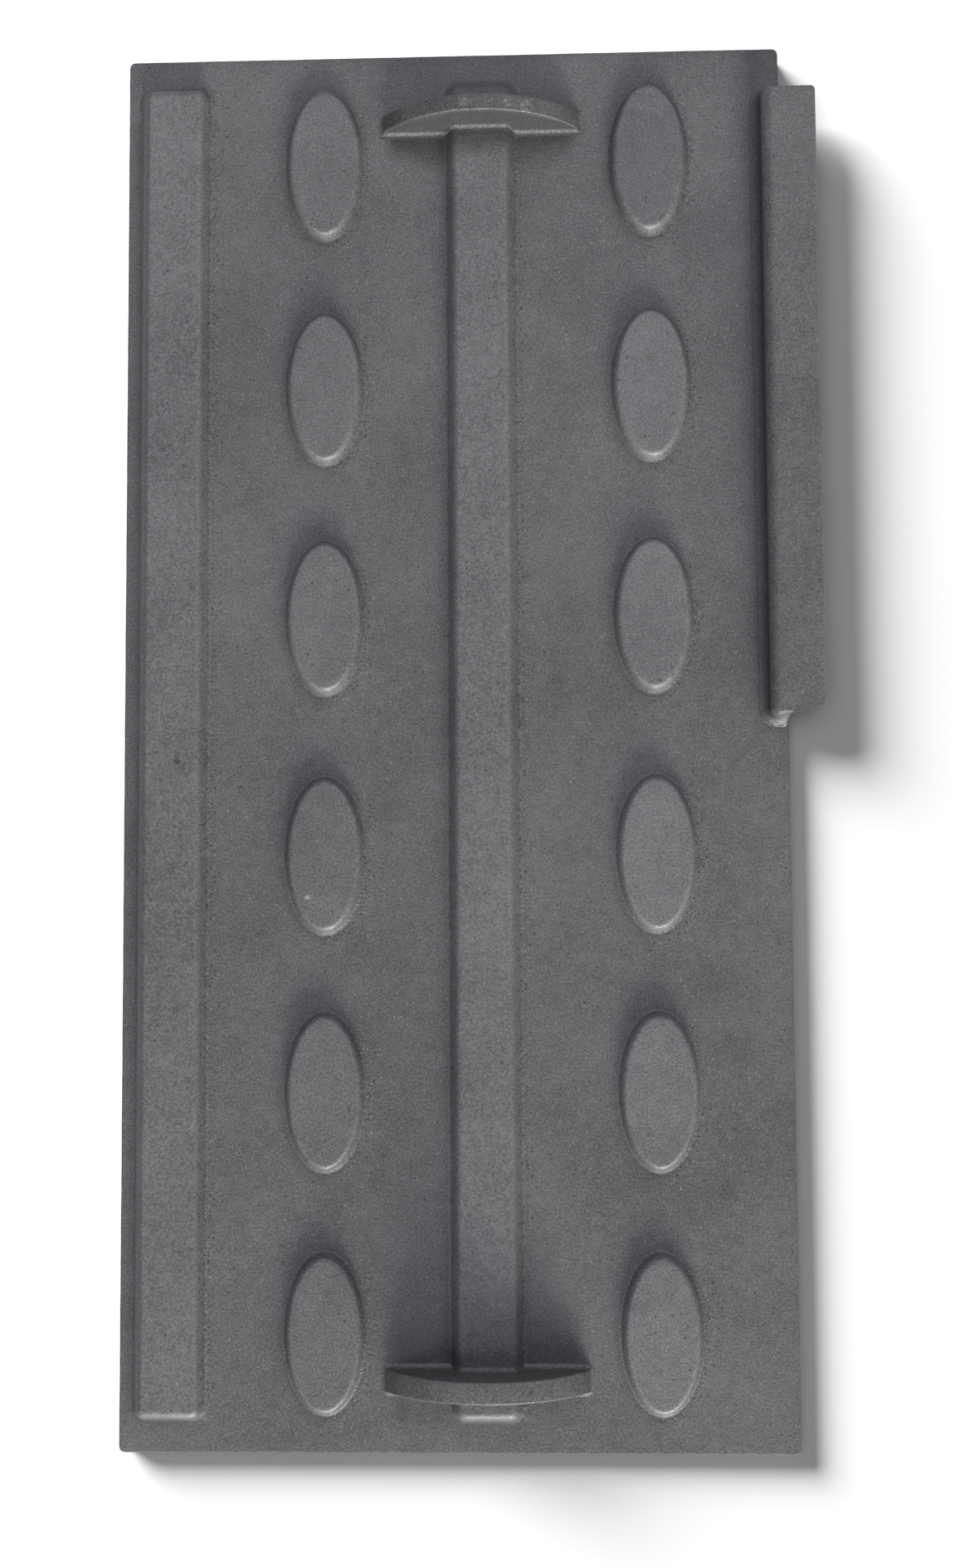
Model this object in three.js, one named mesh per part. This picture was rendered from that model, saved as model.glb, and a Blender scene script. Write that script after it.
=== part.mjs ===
// Cast-iron fireback for a small stove. The smooth fire face lies down, and the back is up: a flat
// plate that carries a bar, a long rib, two half-moon lugs that straddle the rib, two columns of
// oval pads and a lip that laps over the edge of the plate beside it.
// Millimetres: +X across the plate, +Y up its length, +Z out of its back, fire face at Z = 0.
import * as THREE from 'three';

// Plate.
const plateLength = 430;
const plateWidth = 204;
const plateThickness = 7;
const plateCornerRadius = 1.8;
const plateEdgeRadius = 0.5;

// Draft that lets the casting leave its mould, in degrees.
const wallDraft = 25;
const lugDraft = 0.5;

// Bar along the left edge and rib up the middle. Widths are across the top face, before its edge is
// rounded.
const reliefEndMargin = 11.6;
const barFromLeftEdge = 6.25;
const barWidth = 17.7;
const barHeight = 4.5;
const ribOffset = 9;
const ribWidth = 17;
const ribHeight = 5;
const ribFootFillet = 1.5;
const ribEdgeRadius = 2.5;
const ribCornerRadius = 0.8;

// Oval pads, six to a column. Width and length are those of the top face, before its edge is
// rounded.
const padWidth = 22;
const padLength = 45.5;
const padHeight = 3.6;
const padDraft = 18;
const padFootFillet = 1.2;
const padEdgeRadius = 1.8;
const leftPadsFromRib = 48.85;
const rightPadsFromEdge = 40.8;
const padEndMargin = 12.15;
const padPitch = 72;
const leastPadGap = 10;

// Half-moon lugs across the rib.
const lugPadClearance = 7.45;
const lugHeight = 17;
const lugEndHeight = 1.5;
const lugFromEnd = 25;
const topLugThickness = 5.1;
const bottomLugThickness = 6.5;
const lugFootFillet = 1.6;
const lugEdgeRadius = 0.5;
const lugSeatGap = 0.3;

// Lip on the upper half of the right edge.
const lipFromTop = 16;
const lipLength = 193.5;
const lipHeight = 9;
const lipSeatWidth = 6.1;
const lipOverhang = 10.5;
const lipUndersideRise = 1;
const lipWallDraft = 2;
const lipEndDraft = 14;
const lipFootFillet = 3;
const lipInnerEdgeRadius = 2.5;
const lipOuterEdgeRadius = 0.8;
const lipEndEdgeRadius = 0.8;
const lipBevelStart = 2;
const lipBevelAngle = 18;

// Fineness of the rounded shapes, as facets to each arc.
const arcSteps = 3;
const cornerSteps = 4;
const ellipseSteps = 36;
const lugArcSteps = 26;

// Rings across the rounded edge of a lip end, as shares of its radius.
const lipEndInsets = [1, 0.3, 0];

// Least height and radius that a rounded edge keeps where it runs out, least share of a wall that
// stays straight between its edge and its foot, and least distance from a plain section of a lug to
// the flanks of the rib.
const thinnestEdge = 0.1;
const leastStraightWall = 0.1;
const leastStationGap = 0.5;

// Places that follow from the sizes above. The origin is the middle of the whole outline.
const plateLeft = -(plateWidth + lipOverhang) / 2;
const plateRight = plateLeft + plateWidth;
const plateMiddle = (plateLeft + plateRight) / 2;
const plateTop = plateLength / 2;
const barX = plateLeft + barFromLeftEdge + barWidth / 2;
const ribX = plateMiddle + ribOffset;
const leftPadsX = ribX - leftPadsFromRib;
const rightPadsX = plateRight - rightPadsFromEdge;

const castIron = {
  plate: { color: 0x5f5f61, roughness: 0.68, metalness: 0.35 },
  ribs: { color: 0x69696b, roughness: 0.64, metalness: 0.35 },
  pads: { color: 0x6b6b6d, roughness: 0.64, metalness: 0.35 },
  lugs: { color: 0x5b5a5e, roughness: 0.6, metalness: 0.4 },
  lip: { color: 0x666668, roughness: 0.64, metalness: 0.35 },
};

function radians(degrees) {
  return THREE.MathUtils.degToRad(degrees);
}

// Points of a circular arc from one angle to another, both included.
function arc(centreX, centreY, radius, from, to, steps = arcSteps) {
  return Array.from({ length: steps + 1 }, (_, step) => {
    const angle = THREE.MathUtils.lerp(from, to, step / steps);
    return new THREE.Vector2(centreX + radius * Math.cos(angle), centreY + radius * Math.sin(angle));
  });
}

// Closed mesh from corner points and triangles, turned so that its faces point out.
function closedGeometry(points, triangles) {
  const volume = triangles.reduce((sum, [a, b, c]) => {
    const cross = new THREE.Vector3().crossVectors(points[b], points[c]);
    return sum + points[a].dot(cross);
  }, 0);
  const outward = volume > 0 ? triangles : triangles.map(([a, b, c]) => [a, c, b]);
  const geometry = new THREE.BufferGeometry().setFromPoints(points);
  geometry.setIndex(outward.flat());
  geometry.computeVertexNormals();
  return geometry;
}

// Solid skinned over a row of rings that have equal numbers of points. The end rings are filled in,
// laid out on the two named coordinates.
function loft(rings, across, along) {
  const count = rings[0].length;
  const triangles = [];
  for (let ring = 0; ring < rings.length - 1; ring += 1) {
    for (let i = 0; i < count; i += 1) {
      const here = ring * count + i;
      const next = ring * count + ((i + 1) % count);
      triangles.push([here, next, next + count]);
      triangles.push([here, next + count, here + count]);
    }
  }
  [0, rings.length - 1].forEach((ring) => {
    const outline = rings[ring].map((point) => new THREE.Vector2(point[across], point[along]));
    const ringTurns = Math.sign(THREE.ShapeUtils.area(outline));
    const wanted = ring === 0 ? -ringTurns : ringTurns;
    THREE.ShapeUtils.triangulateShape(outline, []).forEach(([a, b, c]) => {
      const turns = Math.sign(THREE.ShapeUtils.area([outline[a], outline[b], outline[c]]));
      const face = turns === wanted ? [a, b, c] : [a, c, b];
      triangles.push(face.map((corner) => corner + ring * count));
    });
  });
  return closedGeometry(rings.flat(), triangles);
}

function ellipse(halfWidth, halfLength) {
  return Array.from({ length: ellipseSteps }, (_, step) => {
    const angle = (step / ellipseSteps) * 2 * Math.PI;
    return new THREE.Vector2(halfWidth * Math.cos(angle), halfLength * Math.sin(angle));
  });
}

function roundedRectangle(halfWidth, halfLength, cornerRadius) {
  const radius = Math.max(cornerRadius, thinnestEdge);
  const x = halfWidth - radius;
  const y = halfLength - radius;
  const quarter = Math.PI / 2;
  return [[x, y], [-x, y], [-x, -y], [x, -y]].flatMap(([centreX, centreY], corner) => (
    arc(centreX, centreY, radius, corner * quarter, (corner + 1) * quarter, cornerSteps)
  ));
}

// Section of a cast wall from its foot to its top: a hollow fillet, the drafted wall and a rounded
// edge. x is the distance out from the edge of the top face, and y the height above the seat. grow
// moves the whole section out by that much, square to itself. Radii too large for the wall shrink.
function wallSection(height, draftDegrees, footFillet, edgeRadius, grow = 0) {
  const draft = radians(draftDegrees);
  const room = (height * (1 - leastStraightWall)) / (1 - Math.sin(draft));
  const shrink = Math.min(1, room / (footFillet + edgeRadius));
  const foot = footFillet * shrink;
  const edge = edgeRadius * shrink;
  const footX = (height - foot) * Math.tan(draft) + foot / Math.cos(draft);
  const edgeX = edge * Math.tan(draft) - edge / Math.cos(draft);
  return [
    ...arc(footX, foot, foot - grow, 1.5 * Math.PI, Math.PI + draft),
    ...arc(edgeX, height - edge, edge + grow, draft, Math.PI / 2),
  ];
}

// Raised feature on the back of the plate: a wall section carried round an outline.
function relief(outline, section) {
  const rings = section.map((step) => (
    outline(step.x).map((point) => new THREE.Vector3(point.x, point.y, step.y))
  ));
  return loft(rings, 'x', 'y');
}

function basePlate() {
  const edge = plateEdgeRadius;
  const section = [
    ...arc(-edge, edge, edge, -Math.PI / 2, 0),
    ...arc(-edge, plateThickness - edge, edge, 0, Math.PI / 2),
  ];
  const outline = (out) => (
    roundedRectangle(plateWidth / 2 + out, plateLength / 2 + out, plateCornerRadius + out)
  );
  return relief(outline, section);
}

// Straight raised bar that ends short of the top and bottom of the plate.
function longBar(width, section) {
  const halfLength = plateLength / 2 - reliefEndMargin;
  return relief((out) => (
    roundedRectangle(width / 2 + out, halfLength + out, ribCornerRadius + out)
  ), section);
}

function barSection(height) {
  return wallSection(height, wallDraft, ribFootFillet, ribEdgeRadius);
}

function ovalPad() {
  const section = wallSection(padHeight, padDraft, padFootFillet, padEdgeRadius);
  return relief((out) => ellipse(padWidth / 2 + out, padLength / 2 + out), section);
}

// Centre heights of a column of pads, top first. The column fills the length between the margins.
function padRows() {
  const travel = plateLength - 2 * padEndMargin - padLength;
  const pitch = Math.max(padPitch, padLength + leastPadGap);
  const gaps = Math.max(1, Math.floor(travel / pitch));
  return Array.from({ length: gaps + 1 }, (_, row) => travel / 2 - (row * travel) / gaps);
}

// Path of a lug's seat over the rib, from the plate on one side to the plate on the other. x is the
// distance from the rib's middle and y the height, clear of the rib by the seat gap.
function seatOverRib() {
  const section = wallSection(ribHeight, wallDraft, ribFootFillet, ribEdgeRadius, lugSeatGap);
  const ramp = new THREE.Vector2(section[0].x + 2 * lugSeatGap, 0);
  const side = [ramp, ...section].map((step) => new THREE.Vector2(ribWidth / 2 + step.x, step.y));
  const mirrored = side.map((step) => new THREE.Vector2(-step.x, step.y)).reverse();
  return [...side, ...mirrored];
}

// Stations along a lug: distance x from its middle, height of its free edge there and height of its
// seat. The free edge is a circular arc between two low ends, and each end runs out on the plate in
// a hollow fillet.
function lugStations(halfWidth) {
  const rise = Math.min(lugHeight - lugEndHeight, halfWidth);
  const radius = (halfWidth ** 2 + rise ** 2) / (2 * rise);
  const reach = Math.asin(halfWidth / radius);
  const arcMiddle = lugHeight - radius;
  const crown = arc(
    0, arcMiddle, radius, Math.PI / 2 - reach, Math.PI / 2 + reach, lugArcSteps,
  );
  const endX = halfWidth + lugEndHeight;
  const end = arc(endX, lugEndHeight, lugEndHeight - thinnestEdge, 1.5 * Math.PI, Math.PI).slice(0, -1);
  const mirrored = end.map((point) => new THREE.Vector2(-point.x, point.y)).reverse();
  const seat = seatOverRib();
  const ribFoot = seat[0].x + leastStationGap;
  const ribTop = Math.min(...seat.map((step) => Math.abs(step.x))) - leastStationGap;
  const onPlate = (point) => Math.abs(point.x) > ribFoot;
  const onRib = (point) => Math.abs(point.x) < ribTop;
  const edge = [...end, ...crown, ...mirrored];
  return [
    ...edge.filter(onPlate).map(({ x, y }) => ({ x, top: y, seat: 0 })),
    ...edge.filter(onRib).map(({ x, y }) => ({ x, top: y, seat: ribHeight + lugSeatGap })),
    ...seat.map(({ x, y }) => ({ x, top: arcMiddle + Math.sqrt(radius ** 2 - x ** 2), seat: y })),
  ].sort((a, b) => b.x - a.x);
}

// Half-moon lug: at each station the section is as high as the edge there, with drafted faces that
// flare into the plate or the rib below and a rounded free edge.
function lug(thickness) {
  const leftSpace = ribX - leftPadsX - padWidth / 2;
  const rightSpace = rightPadsX - padWidth / 2 - ribX;
  const halfWidth = Math.min(leftSpace, rightSpace) - lugPadClearance;
  const wall = wallSection(lugHeight, lugDraft, lugFootFillet, lugEdgeRadius);
  const foot = wall.slice(0, arcSteps + 1);
  const crest = wall.slice(arcSteps + 1);
  const lean = Math.tan(radians(lugDraft));
  const rings = lugStations(halfWidth).map(({ x, top, seat }) => {
    const squeeze = Math.min(1, (top - seat) / (2 * lugFootFillet));
    const side = [
      ...foot.map((step) => new THREE.Vector2(step.x - seat * lean, seat + step.y * squeeze)),
      ...crest.map((step) => {
        const drop = (lugHeight - step.y) * squeeze;
        return new THREE.Vector2(step.x + (lugHeight - top) * lean, top - drop);
      }),
    ];
    const front = side.map((step) => new THREE.Vector3(x, -thickness / 2 - step.x, step.y));
    const back = side.map((step) => new THREE.Vector3(x, thickness / 2 + step.x, step.y));
    return [...front, ...back.reverse()];
  });
  return loft(rings, 'y', 'z');
}

// Across the plate, the lip is a block on the edge of the plate and a shelf beyond it, with a
// rebate under the shelf. x is measured from the plate's right edge, y from the plate's back.
function lipSection() {
  const draft = radians(lipWallDraft);
  const inner = wallSection(lipHeight, lipWallDraft, lipFootFillet, lipInnerEdgeRadius);
  const lowerRadius = lipUndersideRise;
  const outerTopX = lipOverhang - (lipHeight - lipUndersideRise) * Math.tan(draft);
  const outerEdge = lipOuterEdgeRadius;
  return [
    ...inner.map((step) => new THREE.Vector2(-lipSeatWidth - step.x, step.y)),
    ...arc(outerTopX - outerEdge, lipHeight - outerEdge, outerEdge, Math.PI / 2, draft),
    ...arc(lipOverhang - lowerRadius, lipUndersideRise + lowerRadius, lowerRadius, 0, -Math.PI / 2),
    new THREE.Vector2(0, lipUndersideRise),
    new THREE.Vector2(-plateEdgeRadius, 0),
  ];
}

// The lip runs along the plate. Its ends lean with the draft, their edges are eased, and the lower
// end of the shelf is cut back at an angle.
function edgeLip() {
  const section = lipSection();
  const lean = Math.tan(radians(lipEndDraft));
  const bevel = Math.tan(radians(lipBevelAngle));
  const ease = lipEndEdgeRadius;
  const upperEnd = (point) => lipLength / 2 + (lipHeight - point.y) * lean;
  const lowerEnd = (point) => (
    -lipLength / 2 - (lipHeight - point.y) * lean + Math.max(0, point.x - lipBevelStart) * bevel
  );
  const middle = (lipOverhang - lipSeatWidth) / 2;
  const halfWidth = (lipOverhang + lipSeatWidth) / 2;
  const eased = (inset) => section.map((point) => new THREE.Vector2(
    middle + (point.x - middle) * (1 - inset / halfWidth),
    point.y * (1 - inset / lipHeight),
  ));
  const ring = (inset, end, side) => {
    const back = ease - Math.sqrt(ease ** 2 - (ease - inset) ** 2);
    return eased(inset).map((point, i) => (
      new THREE.Vector3(point.x, end(section[i]) - side * back, point.y)
    ));
  };
  const lower = lipEndInsets.map((share) => ring(share * ease, lowerEnd, -1));
  const upper = lipEndInsets.map((share) => ring(share * ease, upperEnd, 1)).reverse();
  return loft([...lower, ...upper], 'x', 'z');
}

const fireback = new THREE.Group();

function addPiece(name, geometry, finish, x = 0, y = 0, z = plateThickness) {
  const piece = new THREE.Mesh(geometry, new THREE.MeshStandardMaterial(castIron[finish]));
  piece.name = name;
  piece.position.set(x, y, z);
  fireback.add(piece);
}

addPiece('base_plate', basePlate(), 'plate', plateMiddle, 0, 0);
addPiece('left_bar', longBar(barWidth, barSection(barHeight)), 'ribs', barX);
addPiece('centre_rib', longBar(ribWidth, barSection(ribHeight)), 'ribs', ribX);

padRows().forEach((y, row) => {
  addPiece(`left_pad_${row + 1}`, ovalPad(), 'pads', leftPadsX, y);
  addPiece(`right_pad_${row + 1}`, ovalPad(), 'pads', rightPadsX, y);
});

const topLugY = plateTop - lugFromEnd + topLugThickness / 2;
const bottomLugY = -plateTop + lugFromEnd - bottomLugThickness / 2;
addPiece('top_lug', lug(topLugThickness), 'lugs', ribX, topLugY);
addPiece('bottom_lug', lug(bottomLugThickness), 'lugs', ribX, bottomLugY);

addPiece('edge_lip', edgeLip(), 'lip', plateRight, plateTop - lipFromTop - lipLength / 2);

export default fireback;
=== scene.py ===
import math

import bpy
import numpy as np
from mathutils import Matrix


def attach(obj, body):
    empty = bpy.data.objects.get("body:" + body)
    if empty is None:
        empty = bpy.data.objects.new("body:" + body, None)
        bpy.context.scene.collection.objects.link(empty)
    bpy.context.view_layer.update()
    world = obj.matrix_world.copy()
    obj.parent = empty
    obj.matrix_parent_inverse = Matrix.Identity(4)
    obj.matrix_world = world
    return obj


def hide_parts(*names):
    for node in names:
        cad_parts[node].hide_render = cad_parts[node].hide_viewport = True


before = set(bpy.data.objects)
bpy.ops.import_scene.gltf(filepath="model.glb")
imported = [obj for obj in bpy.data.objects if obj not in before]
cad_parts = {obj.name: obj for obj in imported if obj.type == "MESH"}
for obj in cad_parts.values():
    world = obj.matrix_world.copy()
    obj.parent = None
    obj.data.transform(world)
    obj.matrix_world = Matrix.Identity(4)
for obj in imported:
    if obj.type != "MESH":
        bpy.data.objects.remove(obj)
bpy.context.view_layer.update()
print("frame loaded:", len(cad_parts), "pieces")

# Sizes in this file are millimetres, in the frame of the plate: x across, y up its length and z out
# of its ribbed back. They become metres when a mesh is written.
metre = 0.001

# How far the casting strays from its drawing, in mm.
castingLook = {
    "waveHeight": 0.045,   # long waves in every face
    "edgeWander": 0.09,    # ragged outlines, always inwards
    "sink": 0.012,         # how deep a raised feature's foot lies in the plate
}


def smooth(value, low, high):
    # Rises from 0 to 1 between low and high as 3t squared minus 2t cubed.
    t = np.clip((value - low) / (high - low), 0, 1)
    return t * t * (3 - 2 * t)


def castingWave(x, y):
    # Sum of five sine waves, 35 to 150 mm long, that cross the plate at different angles.
    turnX = np.array([0.043, -0.081, 0.112, 0.029, 0.171])
    turnY = np.array([0.031, 0.052, -0.094, 0.118, 0.036])
    share = np.array([0.34, 0.24, 0.16, 0.16, 0.10])
    phase = np.array([0.4, 2.1, 4.0, 5.2, 1.3])
    angle = np.multiply.outer(x, turnX) + np.multiply.outer(y, turnY) + phase
    return castingLook["waveHeight"] * (np.sin(angle) * share).sum(axis=-1)


def edgeWander(x, y):
    # Sum of four sine waves, 5 to 30 mm long, along a cast edge, shifted so that it stays negative.
    turn = np.array([0.21, 0.46, 0.83, 1.27])
    share = np.array([0.4, 0.28, 0.2, 0.12])
    phase = np.array([0.7, 2.9, 4.4, 1.9])
    angle = np.multiply.outer(x * 0.83 + y, turn) + phase
    return castingLook["edgeWander"] * ((np.sin(angle) * share).sum(axis=-1) - 1) / 2


def arcPoints(centreX, centreZ, radius, start, end, steps):
    # Points of a circular arc between two angles in degrees: centre plus radius times cos and sin.
    angle = np.radians(np.linspace(start, end, steps + 1))
    return np.stack([centreX + radius * np.cos(angle), centreZ + radius * np.sin(angle)], axis=1)


def between(first, last, steps):
    # Points that divide a straight line evenly, without its ends.
    share = np.linspace(0, 1, steps + 2)[1:-1, None]
    return first + (last - first) * share


profileSteps = {"edge": 7, "wall": 3, "foot": 10}


def joinProfile(edgeArc, footArc):
    # One profile: the arc at the edge, a straight wall divided evenly, and the arc at the foot.
    return np.concatenate([edgeArc, between(edgeArc[-1], footArc[0], profileSteps["wall"]), footArc])


def wallProfile(height, draft, footFillet, edgeRadius):
    # Drafted wall seen end on, from the top down: a round edge, a straight wall and a hollow fillet
    # that ends level with the plate. First column: distance out from the edge of the top face.
    # Radii too large for the wall shrink together, so that a tenth of it stays straight.
    lean = math.radians(draft)
    room = 0.9 * height / (1 - math.sin(lean))
    shrink = min(1, room / (footFillet + edgeRadius))
    foot, edge = footFillet * shrink, edgeRadius * shrink
    footX = (height - foot) * math.tan(lean) + foot / math.cos(lean)
    edgeX = edge * math.tan(lean) - edge / math.cos(lean)
    return joinProfile(
        arcPoints(edgeX, height - edge, edge, 90, draft, profileSteps["edge"]),
        arcPoints(footX, foot, foot, 180 + draft, 270, profileSteps["foot"]),
    )


def freeProfile(height, draft, lowerRadius, edgeRadius, rise, reach):
    # Wall of an overhang: a round edge, a straight wall, and a round lower edge at the given rise that
    # reaches a given way out.
    lean = math.radians(draft)
    edgeX = edgeRadius * math.tan(lean) - edgeRadius / math.cos(lean)
    return joinProfile(
        arcPoints(edgeX, height - edgeRadius, edgeRadius, 90, draft, profileSteps["edge"]),
        arcPoints(reach - lowerRadius, rise + lowerRadius, lowerRadius, 0, -90, profileSteps["foot"]),
    )


# Share of edge wear and of foot roughness at each point of a profile.
edgeShare = np.concatenate([
    np.sin(np.linspace(0.15, 1, profileSteps["edge"] + 1) * math.pi * 0.8),
    np.zeros(profileSteps["wall"] + profileSteps["foot"] + 1),
])
footShare = np.concatenate([
    np.zeros(profileSteps["edge"] + 1),
    np.linspace(0, 0.7, profileSteps["wall"] + 2)[1:-1],
    0.7 + 0.3 * np.sin(np.linspace(0, 1, profileSteps["foot"] + 1) * math.pi),
])


def roundedGrid(innerX, innerY, radius, cornerLines=4):
    # Grid over a rectangle with round corners. A point is its nearest point on the inner rectangle
    # plus the larger of its two distances from there, laid off in its own direction, so the lines
    # round a corner become quarter circles. The second result is that direction.
    beyond = radius * np.arange(1, cornerLines + 1) / cornerLines
    lineX = np.concatenate([innerX[0] - beyond[::-1], innerX, innerX[-1] + beyond])
    lineY = np.concatenate([innerY[0] - beyond[::-1], innerY, innerY[-1] + beyond])
    spot = np.stack(np.meshgrid(lineX, lineY), axis=-1)
    inner = np.clip(spot, [innerX[0], innerY[0]], [innerX[-1], innerY[-1]])
    away = spot - inner
    length = np.maximum(np.linalg.norm(away, axis=-1, keepdims=True), 1e-9)
    outward = away / length
    plan = inner + outward * np.abs(away).max(axis=-1, keepdims=True)
    return plan, outward


def rim(grid):
    # Outline of a grid, once round, anticlockwise.
    return np.concatenate([grid[0, :-1], grid[:-1, -1], grid[-1, :0:-1], grid[:0:-1, 0]])


def gridFaces(index):
    # Quads between neighbouring rows and columns of point numbers.
    return np.stack([index[:-1, :-1], index[:-1, 1:], index[1:, 1:], index[1:, :-1]], axis=-1).reshape(-1, 4)


def slabMesh(top, rings, under):
    # Closed slab: a top grid, rings of points that go round it and down, and an underside grid.
    topIndex = np.arange(top[..., 0].size).reshape(top.shape[:2])
    ringIndex = topIndex.size + np.arange(rings[..., 0].size).reshape(rings.shape[:2])
    underIndex = topIndex.size + ringIndex.size + topIndex
    loops = np.vstack([rim(topIndex), ringIndex, rim(underIndex)])
    loops = np.hstack([loops, loops[:, :1]])
    faces = np.concatenate([
        gridFaces(topIndex), gridFaces(loops)[:, ::-1], gridFaces(underIndex)[:, ::-1],
    ])
    points = np.concatenate([part.reshape(-1, 3) for part in (top, rings, under)])
    return points, faces.tolist()


def ringsMesh(rings):
    # Closed skin over rings of points, each end drawn together on the middle of its ring.
    index = np.arange(rings[..., 0].size).reshape(rings.shape[:2])
    loops = np.hstack([index, index[:, :1]])
    first, last = index.size, index.size + 1
    firstFan = [[b, a, first] for a, b in zip(loops[0, :-1].tolist(), loops[0, 1:].tolist())]
    lastFan = [[a, b, last] for a, b in zip(loops[-1, :-1].tolist(), loops[-1, 1:].tolist())]
    middles = np.stack([rings[0].mean(axis=0), rings[-1].mean(axis=0)])
    points = np.concatenate([rings.reshape(-1, 3), middles])
    return points, gridFaces(loops).tolist() + firstFan + lastFan


def everyRing(values, count):
    # Values round one ring, repeated for a number of rings, and 0 for the middles of the two ends.
    return np.concatenate([np.tile(values, count), [0, 0]])


def addPiece(name, points, faces, wear, foot, paintedShade, node, slot, material):
    # Mesh from points in mm, with shares of edge wear, foot grain and glints, and painted shade at each
    # point.
    mesh = bpy.data.meshes.new(name)
    mesh.from_pydata((points * metre).tolist(), [], faces)
    mesh.shade_smooth()
    for label, values in (("edgeWear", wear), ("footGrainAndGlint", foot), ("paintedShade", paintedShade)):
        layer = mesh.attributes.new(label, "FLOAT", "POINT")
        layer.data.foreach_set("value", np.asarray(values, dtype=np.float32))
    mesh.materials.append(material)
    piece = bpy.data.objects.new(name, mesh)
    bpy.context.scene.collection.objects.link(piece)
    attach(piece, "root")
    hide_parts(node)
    corner = points[[face[i] for face in faces for i in (0, 1, 2)]].reshape(-1, 3, 3)
    volume = np.einsum("ij,ij->i", corner[:, 0], np.cross(corner[:, 1], corner[:, 2])).sum()
    print("piece", name, "with", len(faces), "faces", "" if volume > 0 else "turned inside out")
    return piece


class Wire:
    # One socket of a material. Arithmetic on it adds Math nodes, from either side.
    def __init__(self, socket):
        self.socket = socket

    def node(self, kind, settings, sockets, output=0):
        # Adds a node: its settings first, then a value or a link for each socket.
        tree = self.socket.id_data
        made = tree.nodes.new(kind)
        for name, value in settings.items():
            setattr(made, name, value)
        for name, value in sockets.items():
            if isinstance(value, Wire):
                tree.links.new(value.socket, made.inputs[name])
            else:
                made.inputs[name].default_value = value
        return Wire(made.outputs[output])

    def maths(self, operation, *values):
        # One Math node on wires or numbers.
        return self.node("ShaderNodeMath", {"operation": operation}, dict(enumerate(values)))

    def __add__(self, other):
        return self.maths("ADD", self, other)

    def __radd__(self, other):
        return self.maths("ADD", other, self)

    def __sub__(self, other):
        return self.maths("SUBTRACT", self, other)

    def __rsub__(self, other):
        return self.maths("SUBTRACT", other, self)

    def __mul__(self, other):
        return self.maths("MULTIPLY", self, other)

    def __rmul__(self, other):
        return self.maths("MULTIPLY", other, self)

    def fade(self, low, high):
        # Rises smoothly from 0 at low to 1 at high. low may be the larger.
        return self.node(
            "ShaderNodeMapRange", {"interpolation_type": "SMOOTHSTEP"},
            {"Value": self, "From Min": low, "From Max": high, "To Min": 0.0, "To Max": 1.0},
        )

    def noise(self, perMillimetre, detail, roughness, output=0):
        # Cloudy noise of about the given number of lumps per mm. Called on a vector. Output 1 is three
        # noises in one, as a vector.
        return self.node(
            "ShaderNodeTexNoise", {"noise_dimensions": "3D"},
            {"Vector": self, "Scale": perMillimetre, "Detail": detail, "Roughness": roughness}, output,
        )

    def blend(self, first, second):
        # Colour between two colours, with this wire as the share of the second.
        return self.node(
            "ShaderNodeMix", {"data_type": "RGBA"}, {0: self, 6: first, 7: second}, output=2,
        )

    def near(self, centre, radius, softness):
        # 1 within radius of a place in mm and 0 beyond radius plus softness. Called on a vector.
        distance = self.node(
            "ShaderNodeVectorMath", {"operation": "DISTANCE"}, {0: self, 1: centre}, output=1,
        )
        return distance.fade(radius + softness, radius)


def grey(value, blue=0.0):
    # Linear colour from a grey written as 0 to 255 on screen, with the blue channel raised a little.
    line = ((value / 255 + 0.055) / 1.055) ** 2.4
    return (line * (1 - blue * 0.3), line * (1 - blue * 0.45), line * (1 + blue), 1.0)


# Painted cast iron. Greys are as on screen, from 0 to 255. Noises have a number of lumps per mm. A row
# of specks gives its cells per mm, a speck's radius in cells, the share of cells that have one, what
# that share is at rough feet, and the speck's grey.
ironLook = {
    "tones": {"plate": 99.5, "ribs": 109.5, "leftPads": 109.5, "rightPads": 116.5, "lugs": 88, "lip": 98.5},
    "hazePerMm": 0.013,
    "cloudPerMm": 0.055,
    "mottlePerMm": 0.32,
    "raggedPerMm": 0.35,   # rims of the marks
    "coarsePerMm": 0.75,   # rough feet
    "grainPerMm": 1.15,
    "sandPerMm": 1.7,
    "fineGrainPerMm": 3.1,
    "grainDepth": 0.15,    # in mm
    "sandShare": 1.2,      # how much of the drift is up to each sand grain
    "cloudShare": 0.35,    # and to each of the larger noises
    "drift": 30,           # greys by which the tone drifts either way
    "blue": 0.024,         # how far the blue channel is raised
    "roughness": 0.55,
    "metallic": 0.1,
    "gloss": 1.0,          # level of the specular reflection
    "rub": 0.10,           # share of bare grey on a rubbed edge
    "bareGrey": 168,
    # colour of painted shade, also taken by smudges of soot
    "shadeAndSootGrey": 38,
    "shadeAndSootBlue": 0.28,
    "sootGreys": 45,       # greys by which solid soot darkens the iron
    "smudgeLimit": 20,     # a mark that darkens by less than this is a smudge of soot
    "markShare": 0.85,     # how solid any other mark is
    "specks": [
        (0.80, 0.40, 0.02, 0.55, 58),
        # bright specks: painted glints of the grain
        (1.00, 0.34, 0.08, 0.42, 148),
    ],
}


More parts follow.
